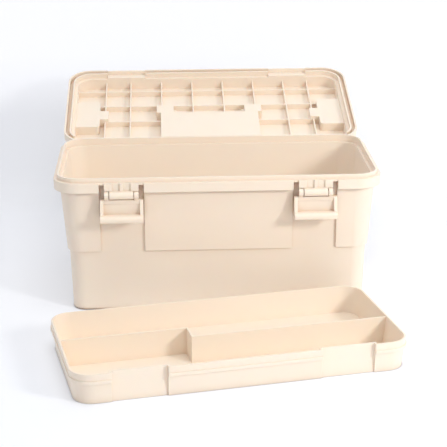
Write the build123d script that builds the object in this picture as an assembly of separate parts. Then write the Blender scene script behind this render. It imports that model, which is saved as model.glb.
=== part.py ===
from build123d import *
import math
import os

# Rim shared by the tub and the lid
rim_length = 430.0
rim_depth = 218.0
rim_radius = 34.0
radius_drop = 0.8

# Tub: heights above the floor, insets measured inward from the rim's outer face
tub_height = 181.5
band_height = 13.0
lip_height = 5.5
lip_inset = 4.7
lip_thick = 2.5
skirt_thick = 2.8
flange_thick = 2.8
step_height = 84.0
neck_inset = 8.0
panel_taper = 6.7
panel_step = 2.8
base_taper = 2.5
wall_thick = 3.0
floor_thick = 3.5
foot_radius = 4.0
ledge_drop = 4.0

# Latches, measured from the latch centre line
latch_end = 89.0
latch_x = rim_length / 2 - latch_end
latch_half = 28.0
latch_side_gap = 1.0
arm_thick = 4.4
arm_slot_gap = 1.3
ear_thick = 5.6
clip_half = 15.5
clip_side_gap = 1.0
pivot_out = 1.2
pivot_drop = 16.0
ring_radius = 5.0
rod_radius = 2.2
rod_gap = 0.07
clip_mouth = 3.4
ring_gap = 0.5
plate_gap = 1.3
plate_back = 5.4
plate_thick = 3.7
plate_band = 5.5
plate_band_rise = 0.8
hook_drop = 25.5
hook_height = 8.5
hook_reach = 12.2
hook_shell = 2.2
hook_round = 5.0
hook_tip_round = 1.8
arm_lead = -0.7
arm_start = 7.0
arm_out = 5.0
web_groove_near = 2.0
web_groove_far = 12.0
web_groove_deep = 1.8

# Rear hinges
hinge_end = 95.0
hinge_x = rim_length / 2 - hinge_end
hinge_half = 35.0
lid_knuckle_half = 12.0
knuckle_gap = 0.4
hinge_out = 4.0
hinge_drop = 1.8
knuckle_radius = 4.8
pin_radius = 2.0
pin_gap = 0.1
relief_gap = 0.5
stop_gap = 0.3
stop_high = 3.0
stop_low = 11.5
lid_open = 164.0

# Lid: heights above the tub's rim, in the closed position
lid_gap = 0.3
lid_band = 11.2
lid_skirt = 2.6
lid_shoulder = 2.6
guide_lip_inset = 7.7
guide_lip_thick = 2.3
guide_lip_gap = 1.2
guide_lip_rear_gap = 5.8
guide_lip_rear_run = 8.5
crown_inset = 11.6
crown_wall = 2.8
crown_taper = 1.0
crown_rise = 17.0
crown_radius = 3.0
panel_thick = 2.3
rib_thick = 2.0
rib_height = 8.5
rib_pitch = 47.7
rib_end = 58.0
rib_edge_x = rim_length / 2 - rib_end
cross_rib_pitch = 46.4
keeper_drop = 2.3
keeper_set = 1.2
keeper_lip_gap = 0.5
keeper_arm_gap = 0.8
gusset_run = 7.0
gusset_rise = 5.0

# Recess for the handle in the top of the lid
recess_deep = 13.3
recess_shell = 2.5
recess_half = 73.5
recess_front = 6.0
recess_back = 78.0
ear_in = 54.0
ear_out = 79.5
ear_front = -16.5
boss_in = 49.5
boss_radius = 5.5

# Handle, drawn folded into its recess
handle_y = -5.0
handle_under = 6.5
handle_arm_in = 60.0
handle_arm_out = 70.0
handle_thick = 10.0
grip_width = 22.0
grip_end = 72.0
trunnion_radius = 3.0
trunnion_gap = 0.06
trunnion_in = 50.0
grip_round = 3.0

# Parts wells and their covers in the top of the lid
well_margin = 17.0
well_width = 33.0
well_tab = 13.0
well_end = rim_length / 2 - well_margin
well_in = well_end - well_width
well_front = -28.5
well_back = 46.5
well_shell = 3.0
well_round = 5.0
well_tab_in = well_in - well_tab
well_tab_front = -1.0
well_tab_back = 24.0
cover_rebate = 1.2
cover_gap = 0.3
cover_thick = 2.4
cover_barrel_set = 3.4
cover_barrel_x = well_end - cover_barrel_set
cover_barrel_radius = 2.2
cover_pin_radius = 1.2
cover_pin_gap = 0.06
cover_pin_reach = 2.0

# Tray, insets from the same rim plan so that it drops into the tub
tray_height = 37.6
tray_flange_low = 25.2
tray_flange_high = 29.5
tray_flange_inset = 9.1
tray_lip_inset = 10.3
tray_wall_inset = 11.5
tray_foot_inset = 14.3
tray_wall = 2.2
tray_floor = 2.4
tray_notch_half = 33.0
tray_notch_inset = 15.8
divider_thick = 2.0
divider_drop = 1.0
divider_jog_x = -46.0
divider_left_y = 12.5
divider_right_y = -16.0
tray_x = 1.6
tray_y = -250.0
tray_turn = 11.66

# Heights and axes that follow from the sizes above
band_base = tub_height - band_height
ledge_height = tub_height - ledge_drop
lip_top = tub_height + lip_height
step_inset = neck_inset + panel_taper + panel_step
panel_inset = neck_inset + panel_taper
base_inset = step_inset + base_taper
front_y = -rim_depth / 2
rear_y = rim_depth / 2
pivot_y = front_y - pivot_out
pivot_z = tub_height - pivot_drop
web_half = latch_half - arm_thick - arm_slot_gap
channel_half = latch_half + latch_side_gap
arm_slope = (arm_out - arm_lead) / (hook_drop - arm_start)
arm_at_rim = arm_lead + arm_slope * (pivot_drop - arm_start)
flange_notch = arm_at_rim - pivot_out + keeper_arm_gap
hinge_y = rear_y + hinge_out
hinge_z = tub_height - hinge_drop
lid_base = tub_height + lid_gap
lid_shoulder_top = lid_base + lid_band
lid_top = lid_shoulder_top + crown_rise
panel_under = lid_top - panel_thick
recess_floor = lid_top - recess_deep
recess_under = recess_floor - recess_shell
handle_z = lid_top - handle_under
cover_z = lid_top - cover_thick
hang_turn = lid_open - 90.0
cut = 1.0


def plan(inset):
    radius = rim_radius - radius_drop * inset
    return RectangleRounded(rim_length - 2 * inset, rim_depth - 2 * inset, radius)


def prism(inset, low, high):
    return extrude(Pos(0, 0, low) * plan(inset), high - low)


def ring(outer, inner, low, high):
    return prism(outer, low, high) - prism(inner, low, high)


def taper(inset_low, inset_high, low, high):
    return loft([Pos(0, 0, low) * plan(inset_low), Pos(0, 0, high) * plan(inset_high)], ruled=True)


def block(x0, x1, y0, y1, z0, z1):
    return Pos((x0 + x1) / 2, (y0 + y1) / 2, (z0 + z1) / 2) * Box(x1 - x0, y1 - y0, z1 - z0)


def rod_x(x0, x1, y, z, radius):
    return Pos((x0 + x1) / 2, y, z) * Rot(0, 90, 0) * Cylinder(radius, x1 - x0)


def rod_y(y0, y1, x, z, radius):
    return Pos(x, (y0 + y1) / 2, z) * Rot(90, 0, 0) * Cylinder(radius, y1 - y0)


def slab_x(points, x0, x1):
    return extrude(Plane.YZ.offset(x0) * make_face(Polyline(*points, close=True)), x1 - x0)


def both_sides(shape):
    return [shape, mirror(shape, about=Plane.YZ)]


def channel_core(extra):
    low = taper(base_inset + extra, step_inset + extra, 0, step_height)
    mid = taper(step_inset + extra, neck_inset + panel_step + extra, step_height, band_base)
    top = prism(neck_inset + panel_step + extra, band_base, tub_height)
    return low + mid + top


def tub_shell():
    low = taper(base_inset, step_inset, 0, step_height)
    low = fillet(low.faces().sort_by(Axis.Z)[0].edges(), foot_radius)
    high = taper(panel_inset, neck_inset, step_height, band_base)
    neck = prism(neck_inset, band_base, ledge_height)
    shelf = prism(lip_inset, ledge_height - wall_thick, lip_top)
    return low + high + neck + shelf


def tub_cavity():
    inner_step = step_height + wall_thick
    low = taper(base_inset + wall_thick, step_inset + wall_thick, floor_thick, inner_step)
    high = taper(panel_inset + wall_thick, neck_inset + wall_thick, inner_step, ledge_height)
    top = prism(lip_inset + lip_thick, ledge_height, lip_top + cut)
    return low + high + top


def front_zone(half, low, high):
    return block(latch_x - half, latch_x + half, front_y - cut, 0, low, high)


def latch_clip():
    clip = rod_x(latch_x - clip_half, latch_x + clip_half, pivot_y, pivot_z, ring_radius)
    bore = rod_x(latch_x - clip_half, latch_x + clip_half, pivot_y, pivot_z, rod_radius + rod_gap)
    mouth = block(
        latch_x - clip_half, latch_x + clip_half, pivot_y, pivot_y + ring_radius + cut,
        pivot_z - clip_mouth / 2, pivot_z + clip_mouth / 2,
    )
    return clip - bore - mouth


def latch_rim_cuts(core):
    cuts = []
    for side in (-1, 1):
        edges = sorted((latch_x + side * web_half, latch_x + side * channel_half))
        slot = block(edges[0], edges[1], front_y - cut, 0, band_base - cut, tub_height - flange_thick)
        cuts.append(slot - core)
        notch_back = front_y + flange_notch
        cuts.append(block(edges[0], edges[1], front_y - cut, notch_back, band_base, tub_height + cut))
        edges = sorted((latch_x + side * clip_half, latch_x + side * web_half))
        ear_top = pivot_z + ring_radius + ring_gap
        skirt_back = front_y + skirt_thick + cut
        cuts.append(block(edges[0], edges[1], front_y - cut, skirt_back, band_base - cut, ear_top))
        edges = sorted((latch_x + side * web_groove_near, latch_x + side * web_groove_far))
        groove_low = pivot_z + ring_radius + ring_gap
        groove_high = tub_height + cut
        groove_back = front_y + web_groove_deep
        cuts.append(block(edges[0], edges[1], front_y - cut, groove_back, groove_low, groove_high))
    return cuts


def stop_point(out, up):
    turn = math.radians(lid_open - 90.0)
    y = hinge_y + out * math.sin(turn) + up * math.cos(turn)
    z = hinge_z + out * math.cos(turn) - up * math.sin(turn)
    return (y, z)


def tub_knuckles():
    shapes = []
    inner = lid_knuckle_half + knuckle_gap
    root_y = rear_y - skirt_thick / 2
    back_high = stop_point(hinge_out - stop_gap, stop_high)
    back_low = stop_point(hinge_out - stop_gap, stop_low)
    outline = [(root_y, back_low[1]), (root_y, back_high[1]), back_high, back_low]
    for low, high in ((-hinge_half, -inner), (inner, hinge_half)):
        barrel = rod_x(hinge_x + low, hinge_x + high, hinge_y, hinge_z, knuckle_radius)
        lug = slab_x(outline, hinge_x + low, hinge_x + high)
        bore = rod_x(hinge_x + low - cut, hinge_x + high + cut, hinge_y, hinge_z, pin_radius)
        shapes.append(barrel + lug - bore)
    return shapes


def make_box():
    body = tub_shell()
    zone_half = channel_half + wall_thick
    outer_core = channel_core(0)
    inner_core = channel_core(wall_thick)
    zone = front_zone(zone_half, floor_thick, tub_height) - inner_core
    channel = front_zone(channel_half, step_height, tub_height - flange_thick) - outer_core
    cavity = tub_cavity()
    for shape in both_sides(zone):
        cavity = cavity - shape
    body = body - cavity
    for shape in both_sides(channel):
        body = body - shape
    body = body + ring(0, lip_inset, tub_height - flange_thick, tub_height)
    body = body + ring(0, skirt_thick, band_base, tub_height)
    for shape in both_sides(latch_clip()):
        body = body + shape
    for shape in latch_rim_cuts(outer_core):
        for item in both_sides(shape):
            body = body - item
    relief_half = lid_knuckle_half + knuckle_gap
    relief_radius = knuckle_radius + relief_gap
    relief = rod_x(hinge_x - relief_half, hinge_x + relief_half, hinge_y, hinge_z, relief_radius)
    for shape in both_sides(relief):
        body = body - shape
    for knuckle in tub_knuckles():
        for shape in both_sides(knuckle):
            body = body + shape
    bore = rod_x(hinge_x - hinge_half, hinge_x + hinge_half, hinge_y, hinge_z, pin_radius)
    for shape in both_sides(bore):
        body = body - shape
    return body


def make_pin():
    return rod_x(hinge_x - hinge_half, hinge_x + hinge_half, hinge_y, hinge_z, pin_radius)


def latch_point(out, down):
    return (pivot_y - out, pivot_z - down)


def hook_bar(left, right, hook_end):
    back = pivot_y + plate_back
    front = pivot_y - hook_reach
    high = pivot_z - hook_drop
    low = pivot_z - hook_end
    bar = block(left, right, front, back, low, high)
    long_edges = bar.edges().filter_by(Axis.X).group_by(Axis.Y)[0].sort_by(Axis.Z)
    bar = fillet(long_edges[-1], hook_round)
    long_edges = bar.edges().filter_by(Axis.X).group_by(Axis.Y)[0].sort_by(Axis.Z)
    bar = fillet(long_edges[0], hook_tip_round)
    hollow = block(left, right, front + hook_shell, back, low - cut, high - hook_shell)
    long_edges = hollow.edges().filter_by(Axis.X).group_by(Axis.Y)[0].sort_by(Axis.Z)
    return bar - fillet(long_edges[-1], hook_round - hook_shell)


def make_latch():
    left = latch_x - latch_half
    right = latch_x + latch_half
    ear_in_x = clip_half + clip_side_gap
    plate_top = ring_radius + plate_gap
    hook_end = hook_drop + hook_height
    rod = rod_x(latch_x - ear_in_x, latch_x + ear_in_x, pivot_y, pivot_z, rod_radius)
    plate_out = plate_thick - plate_back
    plate = slab_x([
        latch_point(-plate_back, plate_top),
        latch_point(plate_out + plate_band_rise, plate_top),
        latch_point(plate_out + plate_band_rise, plate_top + plate_band),
        latch_point(plate_out, plate_top + plate_band),
        latch_point(plate_out, hook_end),
        latch_point(-plate_back, hook_end),
    ], left, right)
    hook = hook_bar(left, right, hook_end)
    latch = rod + plate + hook
    arm = [
        latch_point(-plate_back, arm_start),
        latch_point(arm_lead, arm_start),
        latch_point(arm_out, hook_drop),
        latch_point(hook_reach - hook_round, hook_drop),
        latch_point(hook_reach - hook_shell / 2, hook_drop + hook_round),
        latch_point(hook_reach - hook_shell / 2, hook_end - hook_tip_round),
        latch_point(-plate_back, hook_end),
    ]
    ear = [
        latch_point(-plate_back, 0),
        latch_point(0, 0),
        latch_point(0, arm_start),
        latch_point(-plate_back, arm_start),
    ]
    for side in (-1, 1):
        edges = sorted((latch_x + side * (latch_half - arm_thick), latch_x + side * latch_half))
        latch = latch + slab_x(arm, edges[0], edges[1])
        edges = sorted((latch_x + side * ear_in_x, latch_x + side * (ear_in_x + ear_thick)))
        latch = latch + slab_x(ear, edges[0], edges[1])
        latch = latch + rod_x(edges[0], edges[1], pivot_y, pivot_z, ring_radius)
    return latch


def lid_outer():
    skirt = ring(0, lid_skirt, lid_base, lid_shoulder_top)
    shoulder = prism(0, lid_shoulder_top - lid_shoulder, lid_shoulder_top)
    crown = taper(crown_inset, crown_inset + crown_taper, lid_shoulder_top - lid_shoulder, lid_top)
    crown = fillet(crown.faces().sort_by(Axis.Z)[-1].edges(), crown_radius)
    return skirt + shoulder + crown


def lid_hollow():
    inset = crown_inset + crown_wall
    return taper(inset, inset + crown_taper, lid_base - cut, panel_under)


def guide_lip():
    outer = guide_lip_inset
    inner = guide_lip_inset + guide_lip_thick
    top = lid_shoulder_top - lid_shoulder / 2
    lip = ring(outer, inner, lid_base + guide_lip_gap, top)
    rear = rear_y - inner - guide_lip_rear_run
    half = rim_length / 2
    return lip - block(-half, half, rear, rear_y, lid_base, lid_base + guide_lip_rear_gap)


def lid_ribs():
    low = panel_under - rib_height
    half_y = rim_depth / 2
    half_x = rim_length / 2
    shapes = []
    centres = [rib_pitch * (k + 0.5) for k in range(3)] + [rib_edge_x]
    for x in centres:
        bar = block(x - rib_thick / 2, x + rib_thick / 2, -half_y, half_y, low, lid_top)
        front = -half_y + crown_inset
        outline = [(front, low - gusset_rise), (front + gusset_run, low), (front, low)]
        web = slab_x(outline, x - rib_thick / 2, x + rib_thick / 2)
        shapes += both_sides(bar) + both_sides(web)
    for k in (-1.5, -0.5, 0.5, 1.5):
        y = cross_rib_pitch * k
        shapes.append(block(-half_x, half_x, y - rib_thick / 2, y + rib_thick / 2, low, lid_top))
    return shapes


def recess_bulge():
    main = block(-recess_half, recess_half, recess_front, recess_back, recess_under, lid_top)
    shapes = [main]
    ear = block(ear_in, ear_out, ear_front, recess_front, recess_under, lid_top)
    boss = rod_x(boss_in, ear_in, handle_y, handle_z, boss_radius)
    return shapes + both_sides(ear) + both_sides(boss)


def recess_cuts():
    shell = recess_shell
    half = recess_half - shell
    high = lid_top + cut
    main = block(-half, half, recess_front + shell, recess_back - shell, recess_floor, high)
    inner = ear_in + shell
    ear_low = ear_front + shell
    near = block(inner, half, ear_low, recess_front + shell, recess_floor, high)
    far = block(half, ear_out - shell, ear_low, recess_front - shell, recess_floor, high)
    bore = rod_x(boss_in - cut, inner + cut, handle_y, handle_z, trunnion_radius + trunnion_gap)
    return [main] + both_sides(near) + both_sides(far) + both_sides(bore)


def well_bulge():
    main = block(well_in, rim_length / 2, well_front, well_back, recess_under, lid_top)
    main = fillet(main.edges().filter_by(Axis.Z).group_by(Axis.X)[0], well_round)
    tab = block(well_tab_in, well_in, well_tab_front, well_tab_back, recess_under, lid_top)
    return both_sides(main) + both_sides(tab)


def well_cuts():
    shell = well_shell
    high = lid_top + cut
    inner = well_in + shell
    front = well_front + shell
    back = well_back - shell
    main = block(inner, well_end, front, back, recess_floor, high)
    tab_front = well_tab_front + shell
    tab_back = well_tab_back - shell
    tab = block(well_tab_in + shell, inner, tab_front, tab_back, recess_floor, high)
    step = cover_rebate
    rebate = block(inner - step, cover_barrel_x, front - step, back + step, cover_z, high)
    reach = cover_pin_reach + cover_gap
    hole = rod_y(front - reach, back + reach, cover_barrel_x, cover_z, cover_pin_radius + cover_pin_gap)
    shapes = []
    for shape in (main, tab, rebate, hole):
        shapes += both_sides(shape)
    return shapes


def keeper_parts():
    half = channel_half + lid_gap
    left = latch_x - half
    right = latch_x + half
    wall_y = front_y + lip_inset - keeper_lip_gap
    crown_y = front_y + crown_inset + crown_wall
    keeper_top = lid_shoulder_top - keeper_drop
    wall = block(left, right, front_y, wall_y, lid_base, keeper_top)
    ledge = block(left, right, front_y, crown_y, keeper_top - lid_shoulder, keeper_top)
    return wall + ledge


def arm_slot():
    near = latch_half - arm_thick - arm_slot_gap
    gap = keeper_arm_gap
    outline = [
        (pivot_y - gap, pivot_z + arm_start),
        (pivot_y + arm_lead + gap, pivot_z + arm_start),
        (pivot_y + arm_out + gap, pivot_z + hook_drop),
        (pivot_y + arm_out + gap, lid_shoulder_top + cut),
        (pivot_y - gap, lid_shoulder_top + cut),
    ]
    slots = []
    for side in (-1, 1):
        edges = sorted((latch_x + side * near, latch_x + side * (channel_half + lid_gap)))
        slots.append(slab_x(outline, edges[0], edges[1]))
    return slots


def keeper_cuts():
    half = channel_half + lid_gap
    left = latch_x - half
    right = latch_x + half
    crown_y = front_y + crown_inset
    wall_y = front_y + lip_inset - keeper_lip_gap
    lip_y = front_y + guide_lip_inset + guide_lip_thick
    keeper_top = lid_shoulder_top - keeper_drop
    above = lid_shoulder_top + cut
    over = block(left, right, front_y - cut, crown_y, keeper_top, above)
    face = block(left, right, front_y - cut, front_y + keeper_set, lid_base - cut, above)
    groove = block(left, right, wall_y, lip_y, lid_base - cut, keeper_top - lid_shoulder)
    return [over, face, groove] + arm_slot()


def lid_knuckle():
    barrel = rod_x(hinge_x - lid_knuckle_half, hinge_x + lid_knuckle_half, hinge_y, hinge_z, knuckle_radius)
    root_y = rear_y - lid_skirt / 2
    outline = [
        (root_y, lid_base),
        (root_y, lid_shoulder_top - lid_shoulder),
        (hinge_y, hinge_z + knuckle_radius),
        (hinge_y, lid_base),
    ]
    return barrel + slab_x(outline, hinge_x - lid_knuckle_half, hinge_x + lid_knuckle_half)


def make_lid():
    lid = lid_outer()
    inside = lid_hollow()
    lid = lid - inside
    lid = lid + guide_lip()
    for rib in lid_ribs():
        lid = lid + (rib & inside)
    for shape in recess_bulge() + well_bulge():
        lid = lid + (shape & inside)
    for shape in both_sides(keeper_parts()):
        lid = lid + shape
    for shape in recess_cuts() + well_cuts():
        lid = lid - shape
    for shape in keeper_cuts():
        for item in both_sides(shape):
            lid = lid - item
    relief_radius = knuckle_radius + relief_gap
    inner = lid_knuckle_half
    outer_end = hinge_half + knuckle_gap
    for low, high in ((-outer_end, -inner), (inner, outer_end)):
        relief = rod_x(hinge_x + low, hinge_x + high, hinge_y, hinge_z, relief_radius)
        for shape in both_sides(relief):
            lid = lid - shape
    for shape in both_sides(lid_knuckle()):
        lid = lid + shape
    bore_half = lid_knuckle_half + cut
    bore = rod_x(hinge_x - bore_half, hinge_x + bore_half, hinge_y, hinge_z, pin_radius + pin_gap)
    for shape in both_sides(bore):
        lid = lid - shape
    return lid


def make_handle():
    low = handle_z - handle_thick / 2
    high = handle_z + handle_thick / 2
    end_in = grip_end - grip_width
    grip = block(-handle_arm_out, handle_arm_out, end_in, grip_end, low, high)
    grip = fillet(grip.edges().filter_by(Axis.X), grip_round)
    handle = grip
    arm = block(handle_arm_in, handle_arm_out, handle_y, end_in + grip_width / 2, low, high)
    hub = rod_x(handle_arm_in, handle_arm_out, handle_y, handle_z, handle_thick / 2)
    trunnion = rod_x(trunnion_in, handle_arm_in + cut, handle_y, handle_z, trunnion_radius)
    for shape in (arm, hub, trunnion):
        for item in both_sides(shape):
            handle = handle + item
    return handle


def make_cover():
    step = cover_rebate - cover_gap
    inner = well_in + well_shell - step
    front = well_front + well_shell
    back = well_back - well_shell
    plate = block(inner, cover_barrel_x, front - step, back + step, cover_z, lid_top)
    clear = cover_barrel_radius + cover_gap
    root = cover_barrel_x - clear
    trim_high = lid_top + cut
    for low, high in ((front - step - cut, front + cover_gap), (back - cover_gap, back + step + cut)):
        plate = plate - block(root, cover_barrel_x + cut, low, high, cover_z - cut, trim_high)
    barrel = rod_y(front + cover_gap, back - cover_gap, cover_barrel_x, cover_z, cover_barrel_radius)
    reach = cover_pin_reach
    pin = rod_y(front - reach, back + reach, cover_barrel_x, cover_z, cover_pin_radius)
    return plate + barrel + pin


def tray_notches(grow):
    half = tray_notch_half + grow
    back = front_y + tray_notch_inset + grow
    high = tray_height + cut
    return both_sides(block(latch_x - half, latch_x + half, front_y, back, -cut, high))


def tray_dividers(cavity):
    high = tray_height - divider_drop
    half = rim_length / 2
    thin = divider_thick / 2
    left_y = divider_left_y
    right_y = divider_right_y
    jog = divider_jog_x
    left = block(-half, jog + thin, left_y - thin, left_y + thin, 0, high)
    cross = block(jog - thin, jog + thin, right_y - thin, left_y + thin, 0, high)
    right = block(jog - thin, half, right_y - thin, right_y + thin, 0, high)
    return (left + cross + right) & cavity


def make_tray():
    body = taper(tray_foot_inset, tray_wall_inset, 0, tray_flange_low)
    body = body + prism(tray_flange_inset, tray_flange_low, tray_flange_high)
    body = body + prism(tray_lip_inset, tray_flange_high, tray_height)
    cavity = taper(tray_foot_inset + tray_wall, tray_lip_inset + tray_wall, tray_floor, tray_height + cut)
    for shape in tray_notches(tray_wall):
        cavity = cavity - shape
    body = body - cavity
    for shape in tray_notches(0):
        body = body - shape
    return body + tray_dividers(cavity)


def open_lid(shape):
    return Pos(0, hinge_y, hinge_z) * Rot(-lid_open, 0, 0) * Pos(0, -hinge_y, -hinge_z) * shape


def hang_handle(shape):
    return Pos(0, handle_y, handle_z) * Rot(hang_turn, 0, 0) * Pos(0, -handle_y, -handle_z) * shape


def save(name, shape):
    solids = shape.solids()
    part = solids[0] if len(solids) == 1 else Compound(solids)
    part.label = name
    export_step(part, os.path.join("parts", name + ".step"))
    print(name, len(solids), round(part.volume / 1000.0, 2))


os.makedirs("parts", exist_ok=True)
latch = make_latch()
pin = make_pin()
cover = make_cover()
save("box_body", make_box())
save("lid_shell", open_lid(make_lid()))
save("carry_handle", open_lid(hang_handle(make_handle())))
save("latch_right", latch)
save("latch_left", mirror(latch, about=Plane.YZ))
save("hinge_pin_right", pin)
save("hinge_pin_left", mirror(pin, about=Plane.YZ))
save("well_cover_right", open_lid(cover))
save("well_cover_left", open_lid(mirror(cover, about=Plane.YZ)))
save("tray", Pos(tray_x, tray_y, 0) * Rot(0, 0, tray_turn) * make_tray())
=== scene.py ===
# %% [markdown]
# # A moulded sewing box with a lift-out tray
# The box is one family of cream plastic mouldings: a tub, a ribbed lid, two latches, a handle, two
# small covers and a tray, with two steel hinge pins. The shapes come ready from the imported model, so
# this lesson is about finish, light and camera.

# %% Load the imported model
import bpy
import math
from mathutils import Matrix, Vector

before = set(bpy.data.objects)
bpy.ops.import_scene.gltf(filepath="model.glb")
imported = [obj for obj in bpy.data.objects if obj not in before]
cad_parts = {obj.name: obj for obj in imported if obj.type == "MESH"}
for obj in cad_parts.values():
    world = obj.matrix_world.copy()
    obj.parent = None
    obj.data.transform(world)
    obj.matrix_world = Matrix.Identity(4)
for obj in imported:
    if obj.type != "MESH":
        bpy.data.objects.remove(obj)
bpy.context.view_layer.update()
scene = bpy.context.scene
print("pieces:", ", ".join(sorted(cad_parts)))

# %% [markdown]
# ## The camera
# A product picture like this is taken from a few steps away with a long lens, so that the sides of
# the box stay nearly parallel. The camera could be aimed with a tracking constraint, but then a small
# roll cannot be set, so its matrix is written from three angles in radians: yaw, pitch and roll.

# %% Place the camera
CAMERA_PLACE = Vector((-0.071995, -1.81530, 0.68478))
CAMERA_YAW = 0.0455264
CAMERA_PITCH = 0.316815
CAMERA_ROLL = -0.00465434
CAMERA_LENS_MM = 111.06
CAMERA_REACH = 50.0
SENSOR_MM = 36.0


def aim_matrix(yaw, pitch, roll):
    ahead = Vector((
        math.sin(yaw) * math.cos(pitch),
        math.cos(yaw) * math.cos(pitch),
        -math.sin(pitch),
    ))
    right = Vector((math.cos(yaw), -math.sin(yaw), 0.0))
    up = right.cross(ahead)
    side = right * math.cos(roll) + up * math.sin(roll)
    top = up * math.cos(roll) - right * math.sin(roll)
    return Matrix((side, top, -ahead)).transposed()


lens = bpy.data.cameras.new("photo_camera")
lens.sensor_fit = "HORIZONTAL"
lens.sensor_width = SENSOR_MM
lens.lens = CAMERA_LENS_MM
lens.clip_end = CAMERA_REACH
camera = bpy.data.objects.new("photo_camera", lens)
camera.matrix_world = Matrix.Translation(CAMERA_PLACE) @ aim_matrix(
    CAMERA_YAW, CAMERA_PITCH, CAMERA_ROLL
).to_4x4()
scene.collection.objects.link(camera)
scene.camera = camera
print("camera at", tuple(round(v, 3) for v in camera.location))

# %% [markdown]
# ## Shared effects as node groups
# Every moulding on the box gets the same three effects close up: a fine satin grain from the mould,
# a soft radius with a painted highlight on each edge, and a painted warm shade in narrow slots, which
# stands in for light that goes to and fro between cream walls. Each could be painted per piece, but a
# node group is built once and then placed in every finish with its own values.

# %% Helpers for node groups
FLOAT = "NodeSocketFloat"
VECTOR = "NodeSocketVector"


def new_group(name, inputs, outputs):
    group = bpy.data.node_groups.new(name, "ShaderNodeTree")
    for label, value in inputs.items():
        socket = group.interface.new_socket(label, in_out="INPUT", socket_type=FLOAT)
        socket.default_value = value
    for label, kind in outputs.items():
        group.interface.new_socket(label, in_out="OUTPUT", socket_type=kind)
    start = group.nodes.new("NodeGroupInput")
    end = group.nodes.new("NodeGroupOutput")
    print("group", name, "with", len(inputs), "inputs")
    return group, start, end


def add_node(tree, kind, **settings):
    node = tree.nodes.new(kind)
    for key, value in settings.items():
        setattr(node, key, value)
    return node


print("node group helpers ready")

# %% Mould grain: a fine satin texture and a slow drift in tone
GRAIN_DETAIL = 3.0
DRIFT_DETAIL = 2.0
grain_group, grain_in, grain_out = new_group(
    "mould_grain",
    {"Grain Scale": 1400.0, "Drift Scale": 9.0},
    {"Height": FLOAT, "Drift": FLOAT},
)
place = add_node(grain_group, "ShaderNodeTexCoord")
for scale, detail, result in (
    ("Grain Scale", GRAIN_DETAIL, "Height"),
    ("Drift Scale", DRIFT_DETAIL, "Drift"),
):
    noise = add_node(grain_group, "ShaderNodeTexNoise")
    noise.inputs["Detail"].default_value = detail
    grain_group.links.new(place.outputs["Object"], noise.inputs["Vector"])
    grain_group.links.new(grain_in.outputs[scale], noise.inputs["Scale"])
    grain_group.links.new(noise.outputs[0], grain_out.inputs[result])

# %% Soft edges: a rounded normal at each edge, and a mask of the edges for a painted highlight
EDGE_SAMPLES = 6


def math_node(tree, operation, *values):
    node = add_node(tree, "ShaderNodeMath", operation=operation)
    for socket, value in zip(node.inputs, values):
        if isinstance(value, float):
            socket.default_value = value
        else:
            tree.links.new(value, socket)
    return node.outputs[0]


edge_group, edge_in, edge_out = new_group(
    "soft_edges",
    {"Radius": 0.0008, "Spread": 6.0},
    {"Normal": VECTOR, "Edge": FLOAT},
)
rounder = add_node(edge_group, "ShaderNodeBevel", samples=EDGE_SAMPLES)
edge_group.links.new(edge_in.outputs["Radius"], rounder.inputs["Radius"])
surface = add_node(edge_group, "ShaderNodeNewGeometry")
match = add_node(edge_group, "ShaderNodeVectorMath", operation="DOT_PRODUCT")
edge_group.links.new(rounder.outputs["Normal"], match.inputs[0])
edge_group.links.new(surface.outputs["Normal"], match.inputs[1])
away = math_node(edge_group, "SUBTRACT", 1.0, match.outputs["Value"])
spread = math_node(edge_group, "MULTIPLY", away, edge_in.outputs["Spread"])
limit = add_node(edge_group, "ShaderNodeClamp")
edge_group.links.new(spread, limit.inputs["Value"])
edge_group.links.new(rounder.outputs["Normal"], edge_out.inputs["Normal"])
edge_group.links.new(limit.outputs[0], edge_out.inputs["Edge"])

# %% Corner shade: a mask for painted shade, weak in open corners and strong in narrow slots
CORNER_SAMPLES = 8
corner_group, corner_in, corner_out = new_group(
    "corner_shade",
    {"Reach": 0.012, "Amount": 0.9, "Narrowness": 2.0},
    {"Shade": FLOAT},
)
nearness = add_node(corner_group, "ShaderNodeAmbientOcclusion", samples=CORNER_SAMPLES)
corner_group.links.new(corner_in.outputs["Reach"], nearness.inputs["Distance"])
closed = math_node(corner_group, "SUBTRACT", 1.0, nearness.outputs["AO"])
narrow = math_node(corner_group, "POWER", closed, corner_in.outputs["Narrowness"])
shade = math_node(corner_group, "MULTIPLY", narrow, corner_in.outputs["Amount"])
corner_group.links.new(shade, corner_out.inputs["Shade"])

# %% [markdown]
# ## The cream plastic
# All mouldings are the same ivory polypropylene: satin, finely grained, and just clear enough that
# light spreads a few millimetres into it. Every piece could share one material, but the pieces come
# from different moulds: the latches and the handle shine a little more, and the lid is duller. So one
# function makes the finish, and each family of pieces gets its own roughness, grain, edge radius and
# painted shade in slots. The colour is the same for all, with a painted highlight on edges and a
# painted warm shade in narrow slots.

# %% A mix of two colours
OPAQUE = 1.0
MIX_FIRST_COLOUR = 6
MIX_SECOND_COLOUR = 7
MIX_RESULT_COLOUR = 2


def tint_mix(tree, factor, first, second):
    node = add_node(tree, "ShaderNodeMix", data_type="RGBA")
    tree.links.new(factor, node.inputs["Factor"])
    for index, value in ((MIX_FIRST_COLOUR, first), (MIX_SECOND_COLOUR, second)):
        if isinstance(value, tuple):
            node.inputs[index].default_value = (*value, OPAQUE)
        else:
            tree.links.new(value, node.inputs[index])
    return node.outputs[MIX_RESULT_COLOUR]


print("colour mixer ready")

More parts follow.
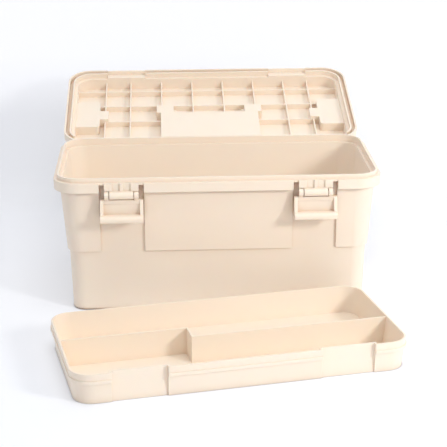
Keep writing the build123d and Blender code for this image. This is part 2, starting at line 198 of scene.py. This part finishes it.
# %% The moulded plastic finish
CREAM = (0.920, 0.800, 0.668)
CREAM_DRIFT = (0.935, 0.815, 0.683)
# Painted shade: narrow slots on every moulding are darkened towards this warm brown.
CREAM_PAINTED_SLOT_SHADE = (0.58, 0.34, 0.19)
# Painted highlight: edges on every moulding are lightened towards this colour.
CREAM_PAINTED_EDGE_HIGHLIGHT = (0.925, 0.810, 0.682)
GRAIN_IN_ROUGHNESS = 0.12
GRAIN_STRENGTH = 0.06
GRAIN_DEPTH = 0.0002
PLASTIC_SPECULAR = 0.35
SCATTER_WEIGHT = 0.18
SCATTER_REACH = (1.0, 0.62, 0.38)
SCATTER_DEPTH = 0.003


def moulded_plastic(name, roughness, grain_scale, edge_radius, slot_shade):
    material = bpy.data.materials.new(name)
    material.use_nodes = True
    tree = material.node_tree
    shader = tree.nodes["Principled BSDF"]
    grain = add_node(tree, "ShaderNodeGroup", node_tree=grain_group)
    grain.inputs["Grain Scale"].default_value = grain_scale
    edges = add_node(tree, "ShaderNodeGroup", node_tree=edge_group)
    edges.inputs["Radius"].default_value = edge_radius
    slots = add_node(tree, "ShaderNodeGroup", node_tree=corner_group)
    slots.inputs["Amount"].default_value = slot_shade
    colour = tint_mix(tree, grain.outputs["Drift"], CREAM, CREAM_DRIFT)
    # Painted shade: the slot mask darkens the colour in narrow slots.
    colour = tint_mix(tree, slots.outputs["Shade"], colour, CREAM_PAINTED_SLOT_SHADE)
    # Painted highlight: the edge mask lightens the colour along edges.
    colour = tint_mix(tree, edges.outputs["Edge"], colour, CREAM_PAINTED_EDGE_HIGHLIGHT)
    tree.links.new(colour, shader.inputs["Base Color"])
    satin = math_node(
        tree, "MULTIPLY_ADD", grain.outputs["Height"], GRAIN_IN_ROUGHNESS, roughness
    )
    tree.links.new(satin, shader.inputs["Roughness"])
    bump = add_node(tree, "ShaderNodeBump")
    bump.inputs["Strength"].default_value = GRAIN_STRENGTH
    bump.inputs["Distance"].default_value = GRAIN_DEPTH
    tree.links.new(grain.outputs["Height"], bump.inputs["Height"])
    tree.links.new(edges.outputs["Normal"], bump.inputs["Normal"])
    tree.links.new(bump.outputs["Normal"], shader.inputs["Normal"])
    shader.inputs["Specular IOR Level"].default_value = PLASTIC_SPECULAR
    shader.inputs["Subsurface Weight"].default_value = SCATTER_WEIGHT
    shader.inputs["Subsurface Radius"].default_value = SCATTER_REACH
    shader.inputs["Subsurface Scale"].default_value = SCATTER_DEPTH
    print("finish", name)
    return material


# %% One finish for each family of pieces
tub_finish = moulded_plastic(
    "tub_plastic", roughness=0.40, grain_scale=1400.0, edge_radius=0.0009, slot_shade=0.9
)
lid_finish = moulded_plastic(
    "lid_plastic", roughness=0.44, grain_scale=1300.0, edge_radius=0.0006, slot_shade=0.3
)
tray_finish = moulded_plastic(
    "tray_plastic", roughness=0.40, grain_scale=1400.0, edge_radius=0.0007, slot_shade=0.4
)
latch_finish = moulded_plastic(
    "latch_plastic", roughness=0.34, grain_scale=1700.0, edge_radius=0.0007, slot_shade=0.8
)
grip_finish = moulded_plastic(
    "grip_plastic", roughness=0.36, grain_scale=1700.0, edge_radius=0.0009, slot_shade=0.5
)

# %% [markdown]
# ## The hinge pins
# The pins are plain drawn steel rod, and drawing leaves fine lines along it. Such lines could be cut
# into the mesh, but they are far finer than a mesh should be, so a noise that is stretched along the
# rod varies its tone and its roughness instead.

# %% Drawn steel
STEEL_DARK = (0.50, 0.49, 0.47)
STEEL_BRIGHT = (0.66, 0.65, 0.63)
STEEL_ROUGHNESS = 0.22
STEEL_METALLIC = 1.0
LINES_IN_ROUGHNESS = 0.25
LINES_STRETCH = (20.0, 2400.0, 2400.0)
LINES_SCALE = 1.0
steel = bpy.data.materials.new("drawn_steel")
steel.use_nodes = True
tree = steel.node_tree
shader = tree.nodes["Principled BSDF"]
shader.inputs["Metallic"].default_value = STEEL_METALLIC
place = add_node(tree, "ShaderNodeTexCoord")
stretch = add_node(tree, "ShaderNodeMapping")
stretch.inputs["Scale"].default_value = LINES_STRETCH
lines = add_node(tree, "ShaderNodeTexNoise")
lines.inputs["Scale"].default_value = LINES_SCALE
tree.links.new(place.outputs["Object"], stretch.inputs["Vector"])
tree.links.new(stretch.outputs["Vector"], lines.inputs["Vector"])
colour = tint_mix(tree, lines.outputs[0], STEEL_DARK, STEEL_BRIGHT)
tree.links.new(colour, shader.inputs["Base Color"])
satin = math_node(tree, "MULTIPLY_ADD", lines.outputs[0], LINES_IN_ROUGHNESS, STEEL_ROUGHNESS)
tree.links.new(satin, shader.inputs["Roughness"])
print("finish", steel.name)

# %% [markdown]
# ## A finish on every piece
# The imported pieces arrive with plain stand-in materials. Each could be changed by hand, but a table
# shows at a glance what every piece is made of, and one loop then fills all the slots.

# %% Give each piece its finish
FINISHES = {
    "box_body": tub_finish,
    "lid_shell": lid_finish,
    "carry_handle": grip_finish,
    "latch_left": latch_finish,
    "latch_right": latch_finish,
    "hinge_pin_left": steel,
    "hinge_pin_right": steel,
    "well_cover_left": lid_finish,
    "well_cover_right": lid_finish,
    "tray": tray_finish,
}
for name, finish in FINISHES.items():
    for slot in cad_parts[name].material_slots:
        slot.material = finish
print("finished", len(FINISHES), "pieces")

# %% [markdown]
# ## The floor and the backdrop
# The picture is taken on white paper that rises close behind the lid, so the shadow of the box falls
# to the left on the floor and climbs the paper. A floor and a wall of their own would show a seam
# where they meet, so one sheet is bent up in small steps. A flat strip, slightly lower, carries the
# floor on behind the bend, for views from the back.

# %% Shape of the paper
PAPER_HALF = 6.0
PAPER_RISE = 0.40
PAPER_BEND = 0.06
PAPER_STEPS = 8
PAPER_TOP = 3.0
PAPER_LAP = 0.10
PAPER_DROP = 0.004
QUARTER_TURN = math.radians(90.0)
sheet = [(-PAPER_HALF, 0.0)]
for step in range(PAPER_STEPS + 1):
    turn = QUARTER_TURN * step / PAPER_STEPS
    sheet.append((
        PAPER_RISE - PAPER_BEND + PAPER_BEND * math.sin(turn),
        PAPER_BEND - PAPER_BEND * math.cos(turn),
    ))
sheet.append((PAPER_RISE, PAPER_TOP))
behind = [(PAPER_RISE - PAPER_LAP, -PAPER_DROP), (PAPER_HALF, -PAPER_DROP)]
corners = []
strips = []
for profile in (sheet, behind):
    start = len(corners)
    corners += [(x, y, z) for y, z in profile for x in (-PAPER_HALF, PAPER_HALF)]
    strips += [(k, k + 1, k + 3, k + 2) for k in range(start, len(corners) - 2, 2)]
sweep = bpy.data.meshes.new("paper_sweep")
sweep.from_pydata(corners, [], strips)
for strip in sweep.polygons:
    strip.use_smooth = True
backdrop = bpy.data.objects.new("paper_sweep", sweep)
scene.collection.objects.link(backdrop)
print("paper with", len(strips), "strips")

# %% [markdown]
# ## White paper that keeps its shadow
# In a studio, extra lamps light such paper until it is pure white. Here they would wash out the
# cream, so the camera, and rays in mirrors and glass, see the paper partly as a white glow of
# strength 1, a little on the blue side. The rest stays diffuse, which keeps the shadow and bounces
# light. The share of white grows with height, so the paper is clean above the box, and a thin dark
# line of painted contact shadow shows where a piece touches the floor. From behind, the paper lets
# all rays through.

# %% Helpers for what the camera sees


def seen_directly(tree):
    path = add_node(tree, "ShaderNodeLightPath")
    mirrored = math_node(
        tree, "MAXIMUM", path.outputs["Is Camera Ray"], path.outputs["Is Glossy Ray"]
    )
    return math_node(tree, "MAXIMUM", mirrored, path.outputs["Is Transmission Ray"])


def mix_shaders(tree, factor, first, second):
    node = add_node(tree, "ShaderNodeMixShader")
    for socket, value in zip(node.inputs, (factor, first, second)):
        tree.links.new(value, socket)
    return node.outputs[0]


print("shader helpers ready")

# %% White paper
PAPER_TONE = (0.95, 0.965, 1.0)
PAPER_WHITE = (1.0, 1.01, 1.06)
# Painted contact shadow: the paper darkens towards this colour where a piece touches it.
PAPER_CONTACT_SHADOW = (0.24, 0.17, 0.13)
CONTACT_REACH = 0.003
CONTACT_AMOUNT = 1.0
CONTACT_NARROWNESS = 1.2
WHITE_STRENGTH = 1.0
LOW_HEIGHT, LOW_SHARE = 0.15, 0.36
HIGH_HEIGHT, HIGH_SHARE = 0.25, 0.85
paper = bpy.data.materials.new("white_paper")
paper.use_nodes = True
tree = paper.node_tree
tree.nodes.clear()
# Painted contact shadow: a narrow mask near touching pieces darkens both the matte and the glow.
contact_shadow = add_node(tree, "ShaderNodeGroup", node_tree=corner_group)
contact_shadow.inputs["Reach"].default_value = CONTACT_REACH
contact_shadow.inputs["Amount"].default_value = CONTACT_AMOUNT
contact_shadow.inputs["Narrowness"].default_value = CONTACT_NARROWNESS
matte = add_node(tree, "ShaderNodeBsdfDiffuse")
tone = tint_mix(tree, contact_shadow.outputs["Shade"], PAPER_TONE, PAPER_CONTACT_SHADOW)
tree.links.new(tone, matte.inputs["Color"])
glow = add_node(tree, "ShaderNodeEmission")
glow.inputs["Strength"].default_value = WHITE_STRENGTH
tone = tint_mix(tree, contact_shadow.outputs["Shade"], PAPER_WHITE, PAPER_CONTACT_SHADOW)
tree.links.new(tone, glow.inputs["Color"])
surface = add_node(tree, "ShaderNodeNewGeometry")
height = add_node(tree, "ShaderNodeSeparateXYZ")
tree.links.new(surface.outputs["Position"], height.inputs[0])
climb = add_node(tree, "ShaderNodeMapRange")
climb.inputs["From Min"].default_value = LOW_HEIGHT
climb.inputs["To Min"].default_value = LOW_SHARE
climb.inputs["From Max"].default_value = HIGH_HEIGHT
climb.inputs["To Max"].default_value = HIGH_SHARE
tree.links.new(height.outputs["Z"], climb.inputs["Value"])
share = math_node(tree, "MULTIPLY", seen_directly(tree), climb.outputs[0])
front = mix_shaders(tree, share, matte.outputs[0], glow.outputs[0])
clear = add_node(tree, "ShaderNodeBsdfTransparent")
either = mix_shaders(tree, surface.outputs["Backfacing"], front, clear.outputs[0])
finish = add_node(tree, "ShaderNodeOutputMaterial")
tree.links.new(either, finish.inputs["Surface"])
backdrop.data.materials.append(paper)
print("finish", paper.name)

# %% [markdown]
# ## The light
# A small lamp stands low in front on the right, so the latches, the ribs and the rim throw clear
# shadows to the left. A large weak lamp overhead and pale, slightly blue surroundings fill the shade.
# One large lamp would be simpler, but it hides the relief of the ribs. To the camera, and in mirrors
# and glass, the surroundings are white of strength 1. As a light they are weaker, so that the plastic
# keeps its colour.

# %% Surroundings
FILL_COLOUR = (0.94, 0.965, 1.0)
FILL_STRENGTH = 0.58
ROOM_WHITE = (1.0, 1.0, 1.0)
world = bpy.data.worlds.new("white_room")
scene.world = world
world.use_nodes = True
tree = world.node_tree
tree.nodes.clear()
fill = add_node(tree, "ShaderNodeBackground")
fill.inputs["Color"].default_value = (*FILL_COLOUR, OPAQUE)
fill.inputs["Strength"].default_value = FILL_STRENGTH
white = add_node(tree, "ShaderNodeBackground")
white.inputs["Color"].default_value = (*ROOM_WHITE, OPAQUE)
white.inputs["Strength"].default_value = WHITE_STRENGTH
room = mix_shaders(tree, seen_directly(tree), fill.outputs[0], white.outputs[0])
finish = add_node(tree, "ShaderNodeOutputWorld")
tree.links.new(room, finish.inputs["Surface"])
print("surroundings of strength", FILL_STRENGTH)

# %% Lamps
LAMP_TINT = (1.0, 0.985, 0.965)


def soft_lamp(name, place, target, size, power):
    lamp = bpy.data.lights.new(name, "AREA")
    lamp.shape = "DISK"
    lamp.size = size
    lamp.energy = power
    lamp.color = LAMP_TINT
    holder = bpy.data.objects.new(name, lamp)
    holder.location = place
    holder.rotation_mode = "QUATERNION"
    aim = Vector(target) - Vector(place)
    holder.rotation_quaternion = aim.to_track_quat("-Z", "Y")
    scene.collection.objects.link(holder)
    print("lamp", name, power, "W")


soft_lamp("key_lamp", (1.10, -1.11, 0.80), target=(0.0, -0.10, 0.10), size=0.34, power=11.0)
soft_lamp("top_lamp", (0.05, -0.45, 1.70), target=(0.0, -0.05, 0.10), size=0.90, power=7.1)

# %% [markdown]
# ## Colour
# The standard view shows colours as they are written. A film-like view could be used instead, but it
# would dull the cream.

# %% Finish
scene.view_settings.view_transform = "Standard"
